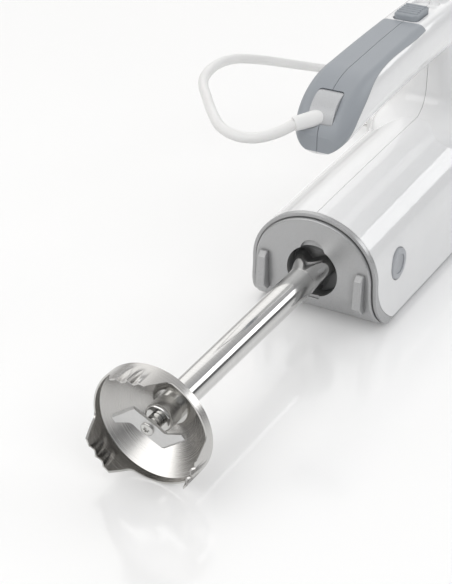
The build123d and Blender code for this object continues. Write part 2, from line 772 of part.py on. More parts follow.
iron = RectangleRounded(2 * STATOR_HALF_WIDTH, 2 * STATOR_HALF_HEIGHT, STATOR_CORNER)
iron -= Circle(ARMATURE_RADIUS + AIR_GAP)
iron -= Rectangle(2 * WINDOW_HALF_WIDTH, 2 * WINDOW_HALF_HEIGHT)
write(axis_prism(iron, STATOR_REAR_STATION, stator_front), "motor_stator")

half_ring = Circle(COIL_OUTER) - Circle(COIL_INNER)
half_ring &= Pos(0, COIL_SPLIT / 2 + COIL_OUTER / 2) * Rectangle(2 * COIL_OUTER, COIL_OUTER)
bar_low, bar_high = COIL_SPLIT / 2, WINDOW_HALF_HEIGHT - COIL_CLEARANCE
bar_mid = Pos((COIL_INNER + COIL_OUTER - COIL_CLEARANCE) / 2, (bar_low + bar_high) / 2)
coil_bar = bar_mid * Rectangle(COIL_OUTER - COIL_INNER - COIL_CLEARANCE, bar_high - bar_low)
coil = axis_prism(half_ring, STATOR_REAR_STATION - COIL_OVERHANG, STATOR_REAR_STATION)
coil += axis_prism(half_ring, stator_front, stator_front + COIL_OVERHANG)
coil_start = STATOR_REAR_STATION - COIL_OVERHANG
for bar in (coil_bar, mirror(coil_bar, about=Plane.YZ)):
    coil += axis_prism(bar, coil_start, stator_front + COIL_OVERHANG)
lower_coil = mirror(coil, about=Plane.XY.offset(AXIS_Z))
write(Compound([coil, lower_coil]), "field_coils")

bracket_outline = RectangleRounded(2 * BRACKET_HALF_WIDTH, 2 * BRACKET_HALF_HEIGHT, BRACKET_CORNER)


def bracket(start, post_start, post_end, boss_start):
    end = start + BRACKET_THICK
    plate = axis_prism(bracket_outline, start, end)
    foot_top = AXIS_Z - BRACKET_HALF_HEIGHT + BRACKET_THICK
    plate += slab(-BRACKET_FOOT_HALF, BRACKET_FOOT_HALF, at(start), at(end), BASE_SPLIT_Z, foot_top)
    for angle in (45, 135, 225, 315):
        reach = (BRACKET_BOSS_RADIUS + BRACKET_WINDOW_RADIUS) / 2
        width = BRACKET_WINDOW_RADIUS - BRACKET_BOSS_RADIUS - BRACKET_THICK
        x, z = reach * math.cos(math.radians(angle)), reach * math.sin(math.radians(angle))
        plate -= rod(width / 2, start, end, x, AXIS_Z + z)
    for x in (-POST_X, POST_X):
        for z in (-POST_Z, POST_Z):
            plate += rod(POST_RADIUS, post_start, post_end, x, AXIS_Z + z)
    plate += rod(BRACKET_BOSS_RADIUS, boss_start, boss_start + BEARING_LENGTH)
    return plate - rod(BEARING_RADIUS, boss_start, boss_start + BEARING_LENGTH)


rear_seat = REAR_BRACKET_STATION + BRACKET_THICK - BEARING_LENGTH
front_seat = FRONT_BRACKET_STATION
rear_face = REAR_BRACKET_STATION + BRACKET_THICK
write(bracket(REAR_BRACKET_STATION, rear_face, STATOR_REAR_STATION, rear_seat), "rear_bracket")
write(bracket(FRONT_BRACKET_STATION, stator_front, FRONT_BRACKET_STATION, front_seat), "front_bracket")
for name, start in (("rear_bearing", rear_seat), ("front_bearing", front_seat)):
    ring = rod(BEARING_RADIUS, start, start + BEARING_LENGTH)
    write(ring - rod(SHAFT_RADIUS + RUN_FIT, start, start + BEARING_LENGTH), name)

commutator_end = STATOR_REAR_STATION - WINDING_LENGTH
commutator_start = commutator_end - COMMUTATOR_LENGTH
brush_mid = at(commutator_start + BRUSH_SETBACK)
brush_inner = COMMUTATOR_RADIUS + BRUSH_GAP
brushes = []
holders = []
for side in (-1, 1):
    x0 = side * brush_inner
    x1 = side * (brush_inner + BRUSH_LENGTH)
    y0, y1 = brush_mid - BRUSH_WIDTH / 2, brush_mid + BRUSH_WIDTH / 2
    z0, z1 = AXIS_Z - BRUSH_HEIGHT / 2, AXIS_Z + BRUSH_HEIGHT / 2
    brush = slab(min(x0, x1), max(x0, x1), y0, y1, z0, z1)
    near, far = side * HOLDER_START, side * HOLDER_REACH
    low, high = z0 - HOLDER_WALL, z1 + HOLDER_WALL
    block = slab(min(near, far), max(near, far), at(rear_face), y1 + HOLDER_WALL, low, high)
    brushes.append(brush)
    holders.append(block - brush)
write(Compound(brushes), "carbon_brushes")
write(Compound(holders), "brush_holders")

# Motor, turning half

write(rod(SHAFT_RADIUS, SHAFT_REAR_STATION, SHAFT_FRONT_STATION), "motor_shaft")


def on_shaft(solid):
    return solid - rod(SHAFT_RADIUS, SHAFT_REAR_STATION, SHAFT_FRONT_STATION)


def slots(depth_from, depth_to):
    mid, height = (depth_from + depth_to) / 2, depth_to - depth_from
    marks = [Rot(0, 0, 360 * k / ARMATURE_SLOTS) * Pos(0, mid) * Rectangle(SLOT_WIDTH, height)
             for k in range(ARMATURE_SLOTS)]
    return Sketch() + marks


slot_floor = ARMATURE_RADIUS - SLOT_DEPTH
laminations = Circle(ARMATURE_RADIUS) - slots(slot_floor, ARMATURE_RADIUS + SLOT_DEPTH)
write(on_shaft(axis_prism(laminations, STATOR_REAR_STATION, stator_front)), "armature")
winding = rod(WINDING_RADIUS, commutator_end, STATOR_REAR_STATION)
winding += rod(WINDING_RADIUS, stator_front, stator_front + WINDING_LENGTH)
winding += axis_prism(slots(slot_floor, WINDING_RADIUS), STATOR_REAR_STATION, stator_front)
write(on_shaft(winding), "armature_winding")
bars = Circle(COMMUTATOR_RADIUS) - [
    Rot(0, 0, 360 * (k + 0.5) / ARMATURE_SLOTS) * Pos(0, COMMUTATOR_RADIUS) * Rectangle(BAR_GAP, 2 * BAR_GAP)
    for k in range(ARMATURE_SLOTS)
]
write(on_shaft(axis_prism(bars, commutator_start, commutator_end)), "commutator")

fan = rod(FAN_RADIUS, FAN_STATION, FAN_STATION + FAN_DISC)
fan += rod(FAN_HUB_RADIUS, FAN_STATION, FAN_STATION + FAN_LENGTH)
blade_mark = Pos(0, (FAN_HUB_RADIUS + FAN_RADIUS) / 2) * Rot(0, 0, FAN_SWEEP)
blade_mark *= Rectangle(FAN_BLADE_THICK, FAN_RADIUS - FAN_HUB_RADIUS)
for k in range(FAN_BLADES):
    fan += axis_prism(Rot(0, 0, 360 * k / FAN_BLADES) * blade_mark, FAN_STATION, FAN_STATION + FAN_LENGTH)
write(on_shaft(fan & rod(FAN_RADIUS, FAN_STATION, FAN_STATION + FAN_LENGTH)), "cooling_fan")

drive_end = DRIVE_SOCKET_STATION + DRIVE_SOCKET_LENGTH
drive_socket = on_shaft(rod(DRIVE_SOCKET_RADIUS, DRIVE_SOCKET_STATION, drive_end))
hex_pocket = RegularPolygon(HEX_RADIUS + HEX_CLEARANCE, 6)
drive_socket -= axis_prism(hex_pocket, DRIVE_SOCKET_STATION, DRIVE_SOCKET_STATION + DRIVE_POCKET)
write(drive_socket, "drive_socket")

# Beater gears: one right-hand thread between two wheels

worm_pitch = 2 * math.pi * GEAR_PITCH_RADIUS / GEAR_TEETH
thread_run = THREAD_TURNS * worm_pitch
path = Helix(worm_pitch, thread_run, WORM_RADIUS)
tooth_edges = Polyline(
    (-THREAD_SINK, -THREAD_ROOT / 2),
    (THREAD_HEIGHT, -THREAD_TIP / 2),
    (THREAD_HEIGHT, THREAD_TIP / 2),
    (-THREAD_SINK, THREAD_ROOT / 2),
    close=True,
)
thread_plane = Plane(path @ 0, x_dir=(1, 0, 0), z_dir=path % 0)
thread = sweep(thread_plane * make_face(tooth_edges), path, is_frenet=True)
thread = Pos(0, at(SOCKET_STATION) - thread_run / 2, AXIS_Z) * Rot(-90, 0, 0) * thread
half_worm = WORM_LENGTH / 2
worm = rod(WORM_RADIUS, SOCKET_STATION - half_worm, SOCKET_STATION + half_worm) + thread
write(on_shaft(worm), "worm")

gear_root = GEAR_PITCH_RADIUS - GEAR_DEDENDUM
gear_tip = GEAR_PITCH_RADIUS + GEAR_ADDENDUM
lead_angle = worm_pitch / (2 * math.pi * (SOCKET_OFFSET - GEAR_PITCH_RADIUS))
half_twist = math.degrees(lead_angle * GEAR_HEIGHT / 2 / GEAR_PITCH_RADIUS)
tooth_outline = make_face(
    Polyline(
        (gear_root - THREAD_SINK, -GEAR_TOOTH * ROOT_SHARE),
        (gear_tip, -GEAR_TOOTH * TIP_SHARE),
        (gear_tip, GEAR_TOOTH * TIP_SHARE),
        (gear_root - THREAD_SINK, GEAR_TOOTH * ROOT_SHARE),
        close=True,
    )
)
gear_low, gear_high = AXIS_Z - GEAR_HEIGHT / 2, AXIS_Z + GEAR_HEIGHT / 2
low_mark = Plane.XY.offset(gear_low) * Rot(0, 0, -half_twist) * tooth_outline
high_mark = Plane.XY.offset(gear_high) * Rot(0, 0, half_twist) * tooth_outline
gear_tooth = loft([low_mark, high_mark], ruled=True)
gear = post(gear_root, gear_low, gear_high, 0, 0)
gear += [Rot(0, 0, 360 * k / GEAR_TEETH) * gear_tooth for k in range(GEAR_TEETH)]
gear += post(HUB_RADIUS, BOSS_TOP_Z + HUB_BOTTOM_GAP, BRIDGE_Z - HUB_BOTTOM_GAP, 0, 0)
gear -= post(SOCKET_RADIUS, 0, BRIDGE_Z, 0, 0)
write(Pos(-SOCKET_OFFSET, 0, 0) * gear, "worm_wheel_left")
write(Pos(SOCKET_OFFSET, 0, 0) * Rot(0, 0, 180 / GEAR_TEETH) * gear, "worm_wheel_right")

socket = post(SOCKET_RADIUS, SOCKET_MOUTH_Z, SOCKET_TOP_Z, 0, 0)
socket -= post(SOCKET_BORE, 0, SOCKET_SHOULDER_Z, 0, 0)
socket -= post(EJECT_PIN_RADIUS + SLIDE_GAP, 0, FAR, 0, 0)
write(Pos(-SOCKET_OFFSET, 0, 0) * socket, "beater_socket_left")
write(Pos(SOCKET_OFFSET, 0, 0) * socket, "beater_socket_right")

bridge_plan = RectangleRounded(2 * BRIDGE_HALF_X, 2 * BRIDGE_HALF_Y, BRIDGE_CORNER)
bridge = extrude(Pos(0, 0, BRIDGE_Z) * bridge_plan, BRIDGE_THICK)
for x in (-BRIDGE_POST_X, BRIDGE_POST_X):
    bridge += post(BRIDGE_POST_RADIUS, BASE_SPLIT_Z, BRIDGE_Z, x, -BRIDGE_POST_Y)
    bridge += post(BRIDGE_POST_RADIUS, BRIDGE_FRONT_POST_Z, BRIDGE_Z, x, BRIDGE_POST_Y)
lug_end = at(LUG_STATION + LUG_LENGTH)
bridge_top = BRIDGE_Z + BRIDGE_THICK
bridge += slab(-LUG_HALF_WIDTH, LUG_HALF_WIDTH, at(LUG_STATION), lug_end, LUG_BOTTOM_Z, bridge_top)
bridge -= rod(SHAFT_RADIUS + RUN_FIT, LUG_STATION, LUG_STATION + LUG_LENGTH)
for side in (-1, 1):
    bridge -= post(SOCKET_RADIUS + RUN_FIT, BRIDGE_Z, BRIDGE_Z + BRIDGE_THICK, side * SOCKET_OFFSET, 0)
write(bridge, "gear_bridge")

# Beater ejector

fork_reach = SOCKET_OFFSET + EJECT_PLATE_MARGIN
plate_top = EJECT_PLATE_Z + EJECT_PLATE_THICK
fork = slab(-fork_reach, fork_reach, -EJECT_PLATE_HALF_Y, EJECT_PLATE_HALF_Y, EJECT_PLATE_Z, plate_top)
for side in (-1, 1):
    fork += post(EJECT_PIN_RADIUS, EJECT_TIP_Z, EJECT_PLATE_Z, side * SOCKET_OFFSET, 0)
fork += post(EJECT_ROD_RADIUS, plate_top, up(EJECT_BUTTON_BASE), 0, 0)
write(fork, "ejector_fork")
eject_button = post(EJECT_BUTTON_RADIUS, up(EJECT_BUTTON_BASE), up(EJECT_BUTTON_TOP), 0, 0)
eject_button = fillet(eject_button.faces().sort_by(Axis.Z)[-1].edges(), EJECT_EDGE)
write(eject_button, "eject_button")
eject_coil_length = EJECT_PLATE_Z - BRIDGE_Z - BRIDGE_THICK - 2 * SPRING_GAP
eject_coil = spring_wire(SPRING_RADIUS, SPRING_WIRE, EJECT_PITCH, eject_coil_length)
write(Pos(0, 0, BRIDGE_Z + BRIDGE_THICK + SPRING_GAP) * eject_coil, "eject_spring")

# Speed switch

knob_base = up(SWITCH_POCKET_FLOOR + SWITCH_FLOAT)
knob_plan = Pos(0, at(SWITCH_STATION), knob_base) * RectangleRounded(knob_x, knob_y, SWITCH_KNOB_CORNER)
knob = extrude(knob_plan, knob_z)
knob = fillet(knob.faces().sort_by(Axis.Z)[-1].edges(), EJECT_EDGE)
for count in range(SWITCH_RIDGES):
    y = at(SWITCH_STATION) + (count - (SWITCH_RIDGES - 1) / 2) * SWITCH_RIDGE_PITCH
    reach = knob_x / 2 - EJECT_EDGE
    knob += cross_rod(SWITCH_RIDGE_RADIUS, -reach, reach, y, knob_base + knob_z)
stem_low = knob_base - SWITCH_STEM_DEPTH
stem_mid = at(SWITCH_STATION)
knob += slab(-stem_x / 2, stem_x / 2, stem_mid - stem_y / 2, stem_mid + stem_y / 2, stem_low, knob_base)
write(knob, "speed_switch")
module_z = MODULE_SIZE[2]
module_low = up(MODULE_BOTTOM)
module_top = module_low + module_z
module = Pos(0, pocket_mid, (module_low + module_top) / 2) * Box(*MODULE_SIZE)
groove_low = module_top - MODULE_GROOVE_DEPTH
module -= slab(-slot_x, slot_x, pocket_mid - slot_y, pocket_mid + slot_y, groove_low, module_top)
write(module, "switch_module")

# Foot: tube with a three-lobed flare

tube_bore = TUBE_BELL_RADIUS - TUBE_WALL
taper = FLARE_STATION - TUBE_FRONT_STATION
tube_mid = at((FLARE_STATION + TUBE_FRONT_STATION) / 2)
tube = Pos(0, tube_mid, AXIS_Z) * Rot(-90, 0, 0) * Cone(TUBE_BELL_RADIUS, TUBE_PORT_RADIUS, taper)


def lobed_outline(station, share):
    """Round outline that swells into lobes as share goes from 0 to 1."""
    ease = share * share * (3 - 2 * share)
    base = TUBE_PORT_RADIUS + FLARE_STEP
    mean = base + (FLARE_RADIUS - base) * ease
    points = []
    for k in range(FLARE_POINTS):
        angle = math.radians(360 * k / FLARE_POINTS)
        wave = math.cos(FLARE_LOBES * (angle - math.radians(LOBE_TURN)))
        radius = mean * (1 + FLARE_LOBING * ease * wave)
        points.append((radius * math.cos(angle), AXIS_Z + radius * math.sin(angle)))
    return cross_plane(station) * make_face(Spline(points, periodic=True))


flare_run = FLARE_END_STATION - FLARE_STATION
shares = [k / (FLARE_SECTIONS - 1) for k in range(FLARE_SECTIONS)]
flare = loft([lobed_outline(FLARE_STATION + flare_run * share, share) for share in shares])
tube = tube + flare - rod(tube_bore, TUBE_FRONT_STATION, FLARE_END_STATION)
write(tube, "foot_tube")

head_end = FLARE_END_STATION + HEAD_LENGTH
head = rod(HEAD_RADIUS, FLARE_END_STATION, head_end)
ring_start = FLARE_END_STATION + (HEAD_LENGTH - HEAD_GROOVE_WIDTH) / 2
ring = rod(HEAD_RADIUS + HEAD_GROOVE, ring_start, ring_start + HEAD_GROOVE_WIDTH)
head -= ring - rod(HEAD_RADIUS - HEAD_GROOVE, FLARE_END_STATION, head_end)
head += rod(tube_bore, FLARE_END_STATION - HEAD_SPIGOT, FLARE_END_STATION)
head -= rod(ROD_RADIUS + RUN_FIT, FLARE_END_STATION - HEAD_SPIGOT, DOG_STATION)
head -= rod(HEX_RADIUS + SLIDE_GAP, DOG_STATION - SLIDE_GAP, head_end)
write(head, "foot_head")

# Foot: scalloped and fluted bell


def bell_profile(wall):
    """Half section of the bell's outside, moved in by the wall."""
    return [
        (TUBE_BELL_RADIUS, BELL_BACK_STATION - wall),
        (BELL_HUB_RADIUS, BELL_BACK_STATION - wall),
        (BELL_RADIUS - wall, BELL_CREASE_STATION - wall / 2),
        (BELL_RADIUS - wall, BELL_EDGE_STATION),
    ]


rows = bell_profile(0.0) + list(reversed(bell_profile(BELL_WALL)))
half_section = make_face(Polyline(*[(r, at(s)) for r, s in rows], close=True))
bell = Pos(0, 0, AXIS_Z) * revolve(half_section, Axis.Y)
window_depth = BELL_SHORT_STATION - BELL_EDGE_STATION
window_rim = BELL_RADIUS * math.sin(math.radians(180 / BELL_LOBES - LOBE_ROOT_HALF))
window_edge = BELL_RADIUS * math.sin(math.radians(180 / BELL_LOBES - LOBE_TIP_HALF))
window_out = window_edge + (window_edge - window_rim) * SCALLOP_SPARE / window_depth
window = make_face(
    Polyline(
        (-window_rim, -window_depth),
        (window_rim, -window_depth),
        (window_out, SCALLOP_SPARE),
        (-window_out, SCALLOP_SPARE),
        close=True,
    )
)
window = fillet(window.vertices().group_by(Axis.Y)[0], SCALLOP_CORNER)
for k in range(BELL_LOBES):
    middle = BELL_LOBE_ANGLE + 360 * (k + 0.5) / BELL_LOBES
    cut = Plane(origin=(0, at(BELL_EDGE_STATION), 0), x_dir=(0, 0, 1), z_dir=(1, 0, 0)) * window
    bell -= Pos(0, 0, AXIS_Z) * Rot(0, -middle, 0) * extrude(cut, 2 * BELL_RADIUS)
flute_run = BELL_CREASE_STATION - BELL_EDGE_STATION
flute_angles = [
    BELL_LOBE_ANGLE + 360 * k / BELL_LOBES + side * FLUTE_TURN for k in range(BELL_LOBES) for side in (-1, 1)
]
for degrees in flute_angles:
    angle = math.radians(degrees)
    x, z = FLUTE_AXIS_RADIUS * math.cos(angle), AXIS_Z + FLUTE_AXIS_RADIUS * math.sin(angle)
    place = Pos(x, at((BELL_CREASE_STATION + BELL_EDGE_STATION) / 2), z) * Rot(-90, 0, 0)
    dent = place * Cone(FLUTE_EDGE_RADIUS, FLUTE_CREASE_RADIUS, flute_run)
    liner = place * Cone(FLUTE_EDGE_RADIUS + BELL_WALL, FLUTE_CREASE_RADIUS + BELL_WALL, flute_run)
    liner &= rod(BELL_RADIUS - BELL_WALL / 2, BELL_CREASE_STATION, BELL_EDGE_STATION)
    bell = bell + liner - dent
write(bell, "foot_bell")

# Foot: bearing hub, seal, drive rod and blade

bush_start = TUBE_FRONT_STATION
collar_end = bush_start - HUB_COLLAR_LENGTH
bush = rod(HUB_COLLAR_RADIUS, bush_start, collar_end) + rod(HUB_NOSE_RADIUS, collar_end, HUB_NOSE_STATION)
bush = fillet(bush.faces().sort_by(Axis.Y)[0].edges(), HUB_NOSE_EDGE)
bush += rod(tube_bore, bush_start, bush_start + HUB_SPIGOT)
bush -= rod(ROD_RADIUS + RUN_FIT, HUB_NOSE_STATION, bush_start + HUB_SPIGOT)
write(bush, "foot_bush")
seal_start = bush_start + HUB_SPIGOT
seal = rod(tube_bore, seal_start, seal_start + SEAL_LENGTH)
write(seal - rod(ROD_RADIUS + RUN_FIT, seal_start, seal_start + SEAL_LENGTH), "foot_seal")

neck_start = HUB_NOSE_STATION - SHADOW_GAP
drive_rod = rod(ROD_RADIUS, neck_start, DOG_STATION + DOG_SEAT) + rod(NECK_RADIUS, BLADE_STATION, neck_start)
neck_cut, neck_width = NECK_GROOVE
for station in NECK_GROOVES:
    ring = rod(NECK_RADIUS + neck_cut, station - neck_width / 2, station + neck_width / 2)
    drive_rod -= ring - rod(NECK_RADIUS - neck_cut, BLADE_STATION, neck_start)
blade_end = BLADE_STATION - BLADE_THICK
shank_end = blade_end + SCREW_SHANK_LENGTH + BLADE_THICK
drive_rod -= rod(SCREW_SHANK_RADIUS, blade_end, shank_end)
write(drive_rod, "drive_rod")
dog = axis_prism(RegularPolygon(HEX_RADIUS, 6), DOG_STATION, DOG_STATION + DOG_LENGTH)
write(dog - rod(ROD_RADIUS, DOG_STATION, DOG_STATION + DOG_SEAT), "drive_dog")

blade_outline = BLADE_HALF + [(-x, -z) for x, z in BLADE_HALF]
blade_plan = make_face(Polyline(*blade_outline, close=True))
waist = abs(BLADE_HALF[3][0])
blade_plan = fillet(blade_plan.vertices().sort_by(lambda v: abs(abs(v.X) - waist))[:2], BLADE_BEND)
plate = axis_prism(blade_plan, blade_end, BLADE_STATION)
heel = abs(BLADE_HALF[0][0])
outer_edges = plate.faces().sort_by(Axis.Y)[0].edges().filter_by(lambda e: abs(e.center().X) > heel)
plate = chamfer(outer_edges.sort_by(Edge.length)[-2:], BLADE_GRIND)
write(plate - rod(SCREW_SHANK_RADIUS, blade_end, BLADE_STATION), "blade")
screw = rod(SCREW_HEAD_RADIUS, blade_end - SCREW_HEAD_HEIGHT, blade_end)
screw = fillet(screw.faces().sort_by(Axis.Y)[0].edges(), HUB_EDGE)
screw += rod(SCREW_SHANK_RADIUS, blade_end, shank_end)
recess = RegularPolygon(SCREW_RECESS_RADIUS, 3) + Rot(0, 0, 180) * RegularPolygon(SCREW_RECESS_RADIUS, 3)
recess_floor = blade_end - SCREW_HEAD_HEIGHT + SCREW_RECESS_DEPTH
screw -= axis_prism(recess, blade_end - SCREW_HEAD_HEIGHT, recess_floor)
write(screw, "blade_screw")

# Lead: free stretch, coil and plug


def bend_radii(points):
    radii = []
    for before, here, after in zip(points, points[1:], points[2:]):
        turn = math.radians((here - before).get_angle(after - here))
        radii.append(RUN_SHARE * min((here - before).length, (after - here).length) / math.tan(turn / 2))
    return radii


def tube_along(path):
    return sweep(Plane(path @ 0, z_dir=path % 0) * Circle(CORD_DIAMETER / 2), path)


radii = bend_radii(cord_points)
free_path = FilletPolyline(*cord_points, radius=radii)
free = tube_along(free_path)
section = math.pi * CORD_DIAMETER**2 / 4
print("free bends", [round(r, 1) for r in radii])
print("free length", round(free_path.length, 1))
print("free volume share", round(free.volume / section / free_path.length, 4))
write(free, "cord_free")

floor_z = CORD_DIAMETER / 2 + COIL_LIFT
coil_x, coil_y = COIL_CENTRE[0], at(COIL_CENTRE[1])


def coil_point(turn):
    """Point and heading of the coil after a number of clockwise turns from its far side."""
    fold = abs(turn - COIL_FOLD_TURN)
    radius = COIL_RADIUS - COIL_PITCH * (COIL_FOLD_TURN - fold)
    climb = min(max((turn - COIL_FOLD_TURN) / (2 * COIL_CLIMB_HALF) + 0.5, 0.0), 1.0)
    angle = math.radians(90 - 360 * turn)
    slope = 0.0 if fold >= COIL_CLIMB_HALF else COIL_PITCH / (2 * COIL_CLIMB_HALF)
    drift = 0.0 if fold == 0 else math.copysign(COIL_PITCH, turn - COIL_FOLD_TURN)
    spin = 2 * math.pi * radius
    ca, sa = math.cos(angle), math.sin(angle)
    place = Vector(coil_x + radius * ca, coil_y + radius * sa, floor_z + COIL_PITCH * climb)
    heading = Vector(drift * ca + spin * sa, drift * sa - spin * ca, slope)
    return place, heading.normalized()


def biarc(start, start_way, end, end_way):
    """Two arcs that join two points with the headings asked for."""
    span = end - start
    both = start_way + end_way
    spread = 2 * (1 - start_way.dot(end_way))
    along = span.dot(both)
    if spread < 1e-9:
        reach = span.dot(span) / (2 * along)
    else:
        reach = (math.sqrt(along**2 + spread * span.dot(span)) - along) / spread
    middle = (start + start_way * reach + end - end_way * reach) * 0.5
    first = TangentArc(start, middle, tangent=start_way)
    second = TangentArc(end, middle, tangent=end_way * -1)
    return [first, Edge(second.wrapped).reversed()]


steps = round(COIL_TURNS / COIL_STEP)
marks = [coil_point(COIL_STEP * k) for k in range(steps + 1)]
lead_in = cord_points[-1]
exit_place, exit_way = marks[-1]
plug_entry = Vector(PLUG_X, exit_place.Y, PLUG_THICK / 2)
straight_end = plug_entry + Vector(2 * CORD_DIAMETER, 0, 0)
marks[0] = (Vector(coil_x, lead_in.Y, lead_in.Z), Vector(1, 0, 0))
marks[-1] = (exit_place, Vector(-1, 0, 0))
marks.append((straight_end, Vector(-1, 0, 0)))
pieces = [Line(lead_in, marks[0][0])]
for (place, way), (next_place, next_way) in zip(marks, marks[1:]):
    pieces += biarc(place, way, next_place, next_way)
pieces.append(Line(straight_end, plug_entry))
coil_path = Wire(pieces)
coil_tube = tube_along(coil_path)
print("coil length", round(coil_path.length, 1))
print("coil volume share", round(coil_tube.volume / section / coil_path.length, 4))
samples = [coil_path.position_at(k / COIL_SAMPLES) for k in range(COIL_SAMPLES + 1)]
apart = int(COIL_SAMPLES * 3 * CORD_DIAMETER / coil_path.length) + 1
nearest = min((a - b).length for i, a in enumerate(samples) for b in samples[i + apart :])
print("coil self gap", round(nearest - CORD_DIAMETER, 2))
write(coil_tube, "cord_coil")

tie_wide, tie_high = (side + 2 * TIE_GAP for side in TIE_BUNDLE)
band = RectangleRounded(tie_wide + 2 * TIE_WALL, tie_high + 2 * TIE_WALL, TIE_CORNER + TIE_WALL)
band -= RectangleRounded(tie_wide, tie_high, TIE_CORNER)
tie_mid = Vector(TIE_X, coil_y + TIE_LENGTH / 2, COIL_LIFT + TIE_BUNDLE[1] / 2)
write(extrude(Plane(origin=tie_mid, x_dir=(1, 0, 0), z_dir=(0, -1, 0)) * band, TIE_LENGTH), "cord_tie")

plug_x0 = PLUG_X - PLUG_LENGTH
plug_y = exit_place.Y
plug_mid = PLUG_THICK / 2
plug_outline = make_face(
    Polyline(
        (PLUG_X, plug_y - PLUG_NECK_WIDTH / 2),
        (PLUG_X, plug_y + PLUG_NECK_WIDTH / 2),
        (PLUG_X - PLUG_SHOULDER, plug_y + PLUG_WIDTH / 2),
        (plug_x0, plug_y + PLUG_WIDTH / 2),
        (plug_x0, plug_y - PLUG_WIDTH / 2),
        (PLUG_X - PLUG_SHOULDER, plug_y - PLUG_WIDTH / 2),
        close=True,
    )
)
plug = extrude(plug_outline, PLUG_THICK)
plug = fillet(plug.edges().filter_by(Axis.Z), PLUG_EDGE)
plug_faces = plug.faces().sort_by(Axis.Z)
plug = fillet(plug_faces[0].edges() + plug_faces[-1].edges(), PLUG_EDGE / 2)
write(plug, "plug_body")
pins = []
for side in (-1, 1):
    pin = cross_rod(PIN_RADIUS, plug_x0 - PIN_LENGTH, plug_x0, plug_y + side * PIN_SPACING / 2, plug_mid)
    pins.append(fillet(pin.faces().sort_by(Axis.X)[0].edges(), PIN_RADIUS / 2))
write(Compound(pins), "plug_pins")
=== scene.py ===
import json
import math

import bmesh
import bpy
from mathutils import Matrix, Vector

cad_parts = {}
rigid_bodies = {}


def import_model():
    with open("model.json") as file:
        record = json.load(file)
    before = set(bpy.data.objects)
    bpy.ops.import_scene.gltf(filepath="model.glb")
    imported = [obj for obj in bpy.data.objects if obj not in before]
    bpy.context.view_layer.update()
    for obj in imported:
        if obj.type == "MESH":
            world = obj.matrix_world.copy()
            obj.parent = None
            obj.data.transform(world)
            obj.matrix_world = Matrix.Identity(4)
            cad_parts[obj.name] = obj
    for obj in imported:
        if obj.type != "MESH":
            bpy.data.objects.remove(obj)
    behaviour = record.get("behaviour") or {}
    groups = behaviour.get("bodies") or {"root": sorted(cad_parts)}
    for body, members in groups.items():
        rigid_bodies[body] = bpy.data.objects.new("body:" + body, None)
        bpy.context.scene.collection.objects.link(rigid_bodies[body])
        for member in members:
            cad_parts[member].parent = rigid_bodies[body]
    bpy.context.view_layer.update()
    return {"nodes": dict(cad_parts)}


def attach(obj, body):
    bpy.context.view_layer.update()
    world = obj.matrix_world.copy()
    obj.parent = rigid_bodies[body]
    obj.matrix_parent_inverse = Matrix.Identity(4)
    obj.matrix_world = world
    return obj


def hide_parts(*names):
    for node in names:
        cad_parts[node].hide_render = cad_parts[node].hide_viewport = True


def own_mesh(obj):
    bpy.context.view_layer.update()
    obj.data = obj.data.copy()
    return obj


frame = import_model()
nodes = frame["nodes"]
scene = bpy.context.scene
scene.view_settings.view_transform = "Standard"

# Frame of the model, in metres
SETBACK = 0.165
AXIS_Z = 0.0325


def row(x, station, rise):
    """Place in metres, from millimetres beside the motor axis, along it from the rear cover and above it."""
    return Vector((x / 1000, station / 1000 - SETBACK, rise / 1000 + AXIS_Z))


# Camera, matched to the photograph
CAMERA_AT = (0.3313, -0.8296, 0.4570)
CAMERA_AZIMUTH = 30.24
CAMERA_ELEVATION = 30.53
CAMERA_ROLL = -0.75
CAMERA_LENS = 93.44
CAMERA_CLIP = (0.05, 50)
SENSOR = 36.0


def make_camera():
    azimuth = math.radians(CAMERA_AZIMUTH)
    elevation = math.radians(CAMERA_ELEVATION)
    roll = math.radians(CAMERA_ROLL)
    level = math.cos(elevation)
    right = Vector((math.cos(azimuth), math.sin(azimuth), 0))
    back = Vector((math.sin(azimuth) * level, -math.cos(azimuth) * level, math.sin(elevation)))
    up = back.cross(right)
    tilted_right = math.cos(roll) * right + math.sin(roll) * up
    tilted_up = math.cos(roll) * up - math.sin(roll) * right
    data = bpy.data.cameras.new("camera")
    data.lens = CAMERA_LENS
    data.sensor_width = SENSOR
    data.clip_start, data.clip_end = CAMERA_CLIP
    camera = bpy.data.objects.new("camera", data)
    scene.collection.objects.link(camera)
    turn = Matrix((tilted_right, tilted_up, back)).transposed()
    camera.matrix_world = Matrix.Translation(CAMERA_AT) @ turn.to_4x4()
    scene.camera = camera


make_camera()

# Nodes that the materials and the studio share


def node(tree, kind, **values):
    """New node, with its sockets and properties set by name."""
    made = tree.nodes.new(kind)
    for key, value in values.items():
        if key in made.inputs:
            made.inputs[key].default_value = value
        else:
            setattr(made, key, value)
    return made


def maths(tree, operation, *values, clamp=False):
    """Result of one operation on sockets and numbers."""
    made = node(tree, "ShaderNodeMath", operation=operation, use_clamp=clamp)
    for socket, value in zip(made.inputs, values):
        if isinstance(value, bpy.types.NodeSocket):
            tree.links.new(value, socket)
        else:
            socket.default_value = value
    return made.outputs["Value"]


def span(tree, value, start, end, low=0.0, high=1.0, smooth=False):
    """Output that runs from low to high while the value runs from start to end."""
    made = node(tree, "ShaderNodeMapRange", interpolation_type="SMOOTHSTEP" if smooth else "LINEAR")
    for key, number in zip(("From Min", "From Max", "To Min", "To Max"), (start, end, low, high)):
        made.inputs[key].default_value = number
    tree.links.new(value, made.inputs["Value"])
    return made.outputs["Result"]


